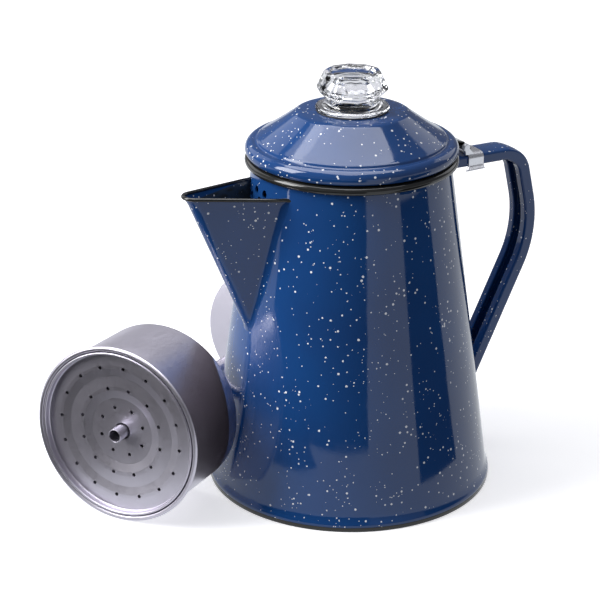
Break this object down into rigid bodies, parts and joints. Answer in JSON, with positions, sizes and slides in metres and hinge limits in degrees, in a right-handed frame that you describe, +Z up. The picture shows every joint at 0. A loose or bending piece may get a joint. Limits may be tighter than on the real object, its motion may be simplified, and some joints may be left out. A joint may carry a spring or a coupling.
{
  "type": "coffee percolator",
  "caption": "Enamelled camping percolator pot with folded spout, hinged lid and clear knob; its perforated basket on a stem lies beside it.",
  "frame": {"origin": "middle of the pot's base, on the surface it stands on", "axes": "+Z up along the pot's axis, +X towards the handle, spout towards -X"},
  "size_m": [0.2702, 0.2063, 0.2198],
  "materials": {
    "enamel_blue": "glossy speckled vitreous enamel",
    "enamel_black": "glossy vitreous enamel",
    "stainless": "satin",
    "seal": "matte",
    "clear_glass": "clear pressed glass",
    "aluminium": "satin"
  },
  "bodies": {
    "pot": {"pot_wall": "enamel_blue", "pot_bottom": "enamel_blue", "base_seam": "enamel_black", "mouth_bead": "enamel_black", "spout": "enamel_blue", "spout_rim": "enamel_black", "handle": "enamel_blue", "hinge_clip": "stainless", "hinge_pin": "stainless"},
    "lid": {"lid_shell": "enamel_blue", "lid_skirt": "enamel_black", "lid_tab": "enamel_black", "knob_seal": "seal"},
    "knob": {"knob": "clear_glass"},
    "stem": {"stem_tube": "aluminium", "stem_foot": "aluminium", "stem_collar": "aluminium", "basket_stop": "aluminium"},
    "basket": {"basket_cup": "aluminium", "basket_sleeve": "aluminium"},
    "cover": {"spreader_cover": "aluminium"}
  },
  "joints": [
    {"name": "lid_hinge", "type": "hinge", "parent": "pot", "child": "lid", "pos_m": [0.0652, 0, 0.1714], "axis": [0, 1, 0], "range_deg": [0, 110]},
    {"name": "knob_turn", "type": "hinge", "parent": "lid", "child": "knob", "pos_m": [0, 0, 0.2], "axis": [0, 0, 1], "range_deg": [0, 90]},
    {"name": "insert_lift", "type": "slide", "parent": "pot", "child": "stem", "axis": [-0.3903, 0.5896, 0.7071], "range_m": [0, 0.2]},
    {"name": "basket_slide", "type": "slide", "parent": "stem", "child": "basket", "axis": [-0.8397, -0.5412, 0.0446], "range_m": [0, 0.06]},
    {"name": "cover_slide", "type": "slide", "parent": "basket", "child": "cover", "axis": [-0.8397, -0.5412, 0.0446], "range_m": [0, 0.04]}
  ]
}
